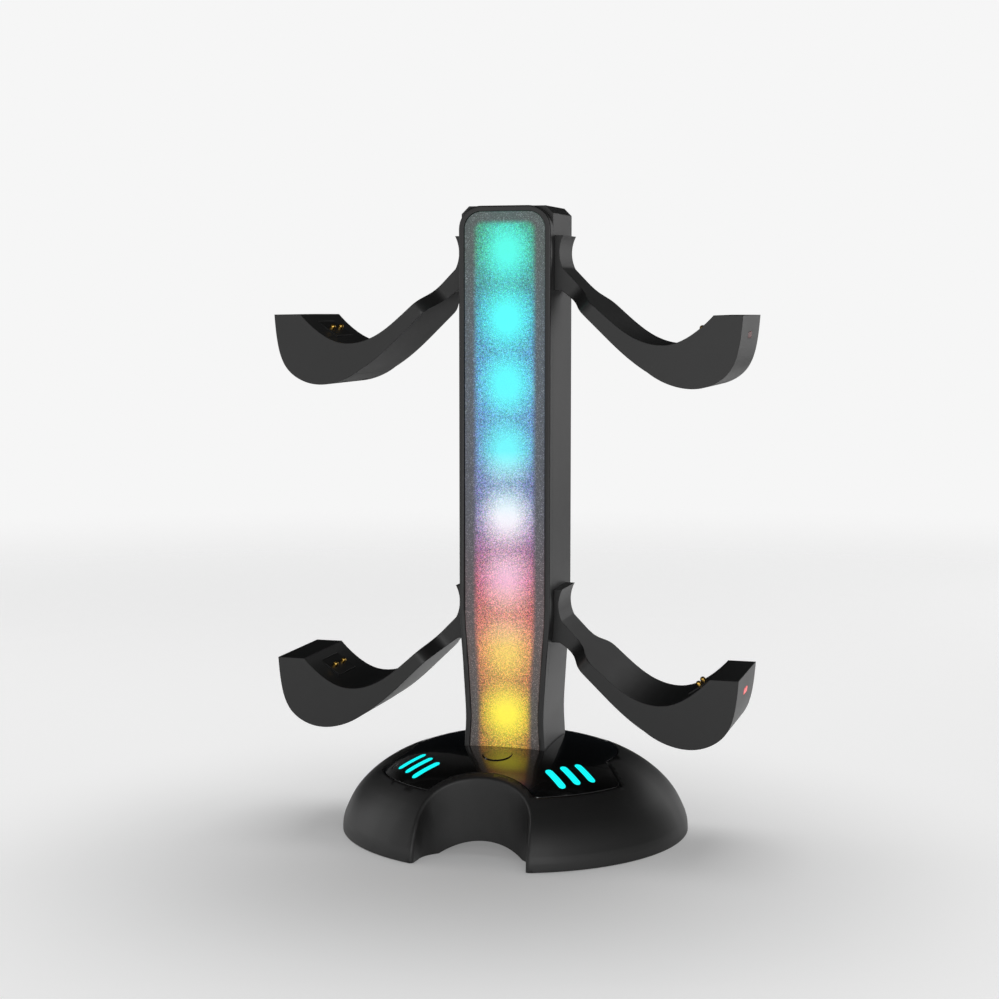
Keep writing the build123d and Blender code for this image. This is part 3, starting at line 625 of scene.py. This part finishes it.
twinkle = add(
    tree,
    "ShaderNodeVectorMath",
    {0: tinted.outputs["Color"], 1: swing, 2: faintest},
    operation="MULTIPLY_ADD",
)
shine = add(
    tree, "ShaderNodeVectorMath", {0: light, 1: twinkle.outputs[0]}, operation="MULTIPLY"
).outputs[0]
# Painted glints: a few rare flecks raise the border's grey several times over.
glint = add(
    tree, "ShaderNodeMath", {0: fleck, 1: PAINTED_GLINT_RARITY}, operation="POWER"
).outputs[0]
border_grey_with_painted_glints = add(
    tree,
    "ShaderNodeMapRange",
    {"Value": glint, "To Min": BORDER_PAINTED_GLINT[0], "To Max": BORDER_PAINTED_GLINT[1]},
).outputs[0]
border_share = add(
    tree,
    "ShaderNodeMapRange",
    {"Value": lit, "To Min": border_grey_with_painted_glints, "To Max": UNLIT_GREY_SHARE},
).outputs[0]
border = add(
    tree,
    "ShaderNodeVectorMath",
    {0: colour(BORDER_GREY)[:3], "Scale": border_share},
    operation="SCALE",
).outputs[0]
skin = add(
    tree,
    "ShaderNodeBsdfPrincipled",
    {
        "Base Color": border,
        "Roughness": 0.45,
        "IOR": 1.49,
        "Emission Color": shine,
        "Emission Strength": lit,
    },
)
add(tree, "ShaderNodeOutputMaterial", {"Surface": skin.outputs[0]})
finish(panel_material, "light_panel")

# Tower: a rear housing and a front frame, both moulded in the same satin ABS, that meet in a fine
# joint down each side.
tower_abs = moulded("satin_tower_abs", "161616", 0.42, SPARK_GRAIN_MM, relief=0.2)
tower_housing = smooth_copy("tower_housing", tower_abs, flat_sided=True)
tower_frame = smooth_copy("tower_front_frame", tower_abs, flat_sided=True)

# Cradles: four satin ABS trays, each moulded in one piece with a cover screwed under its nose. A
# controller's handle rests in each. Nylon blocks hold the contacts, and a red lens shows charging.
TRAY_EDGE_MM = 0.5
TRAY_SMOOTH_BELOW = 24

cradle_abs = moulded("satin_cradle_abs", "171717", 0.44, SPARK_GRAIN_MM, relief=0.2)
contact_nylon = moulded(
    "moulded_contact_nylon", "0E0E0E", roughness=0.5, grain_mm=0.3, relief=0.15
)
lamp_lens = moulded(
    "red_lamp_polycarbonate", "6A0A08", roughness=0.25, grain_mm=0.6, relief=0.05
)
for tier in ("lower", "upper"):
    for side in ("left", "right"):
        tray = smooth_copy(
            f"tray_{tier}_{side}",
            cradle_abs,
            angle=TRAY_SMOOTH_BELOW,
            edge_mm=TRAY_EDGE_MM,
            flat_sided=True,
        )
        finish(cradle_abs, f"nose_cover_{tier}_{side}")
        finish(contact_nylon, f"contact_block_{tier}_{side}")
        finish(lamp_lens, f"charge_lamp_{tier}_{side}")

# One charge lamp is lit, as in the photograph: the same red lens with light behind it.
LAMP_RED = "D80C0C"

lit_lens = lamp_lens.copy()
lit_lens.name = "lit_red_lamp_polycarbonate"
lens_skin = next(
    n for n in lit_lens.node_tree.nodes if n.bl_idname == "ShaderNodeBsdfPrincipled"
)
lens_skin.inputs["Emission Color"].default_value = colour(LAMP_RED)
lens_skin.inputs["Emission Strength"].default_value = 1.0
finish(lit_lens, "charge_lamp_lower_right")


# Metal: gilt contact pins, zinc-plated screws, the tin-plated shell of the inlet and the rolled
# steel ballast. Each has a fine variation in its polish.
POLISH_SWING = 0.3


def metal(name, base, roughness, grain_mm):
    """A metal with a fine variation in its polish."""
    material = bpy.data.materials.new(name)
    material.use_nodes = True
    tree = material.node_tree
    tree.nodes.clear()
    where = add(tree, "ShaderNodeTexCoord")
    grain = add(
        tree,
        "ShaderNodeTexNoise",
        {"Vector": where.outputs["Object"], "Scale": 1000 / grain_mm, "Detail": 4.0},
    )
    dull = add(
        tree,
        "ShaderNodeMapRange",
        {
            "Value": grain.outputs["Fac"],
            "To Min": roughness * (1 - POLISH_SWING),
            "To Max": roughness * (1 + POLISH_SWING),
        },
    )
    skin = add(
        tree,
        "ShaderNodeBsdfPrincipled",
        {"Base Color": colour(base), "Metallic": 1.0, "Roughness": dull.outputs[0]},
    )
    add(tree, "ShaderNodeOutputMaterial", {"Surface": skin.outputs[0]})
    return material


gilt = metal("gilt_brass", "E0B45A", roughness=0.22, grain_mm=0.3)
zinc = metal("zinc_plated_steel", "B9BBBE", roughness=0.3, grain_mm=0.5)
tinned = metal("tin_plated_steel", "C8CACC", roughness=0.25, grain_mm=0.8)
rolled = metal("rolled_steel", "8C8F92", roughness=0.4, grain_mm=2.0)
for tier in ("lower", "upper"):
    for side in ("left", "right"):
        finish(gilt, f"contact_pin_front_{tier}_{side}", f"contact_pin_back_{tier}_{side}")
finish(zinc, "cover_screws", "tower_screws", "arm_screws", "nose_cover_screws")
finish(tinned, "usb_c_socket")
finish(rolled, "ballast_left", "ballast_right")

# Feet: four discs of soft black rubber stuck to the bottom cover.
rubber = moulded("soft_moulded_rubber", "141414", roughness=0.75, grain_mm=0.8, relief=0.4)
for spot in ("front", "back"):
    finish(rubber, f"foot_{spot}_left", f"foot_{spot}_right")

# Circuit boards: glass-filled epoxy under green or white solder mask, with the press switch and
# the lamps soldered on.
green_board = moulded("green_solder_mask", "14532D", roughness=0.35, grain_mm=0.6, relief=0.1)
white_board = moulded("white_solder_mask", "D9D9D4", roughness=0.4, grain_mm=0.6, relief=0.1)
switch_nylon = moulded(
    "moulded_switch_nylon", "101010", roughness=0.5, grain_mm=0.4, relief=0.1
)
lamp_package = moulded(
    "moulded_lamp_package", "EDEDE2", roughness=0.3, grain_mm=0.5, relief=0.05
)
finish(green_board, "button_board", "main_board", "bar_light_board_left", "bar_light_board_right")
for tier in ("lower", "upper"):
    finish(green_board, f"contact_board_{tier}_left", f"contact_board_{tier}_right")
finish(white_board, "light_board")
finish(switch_nylon, "press_switch")
finish(lamp_package, "light_packages")
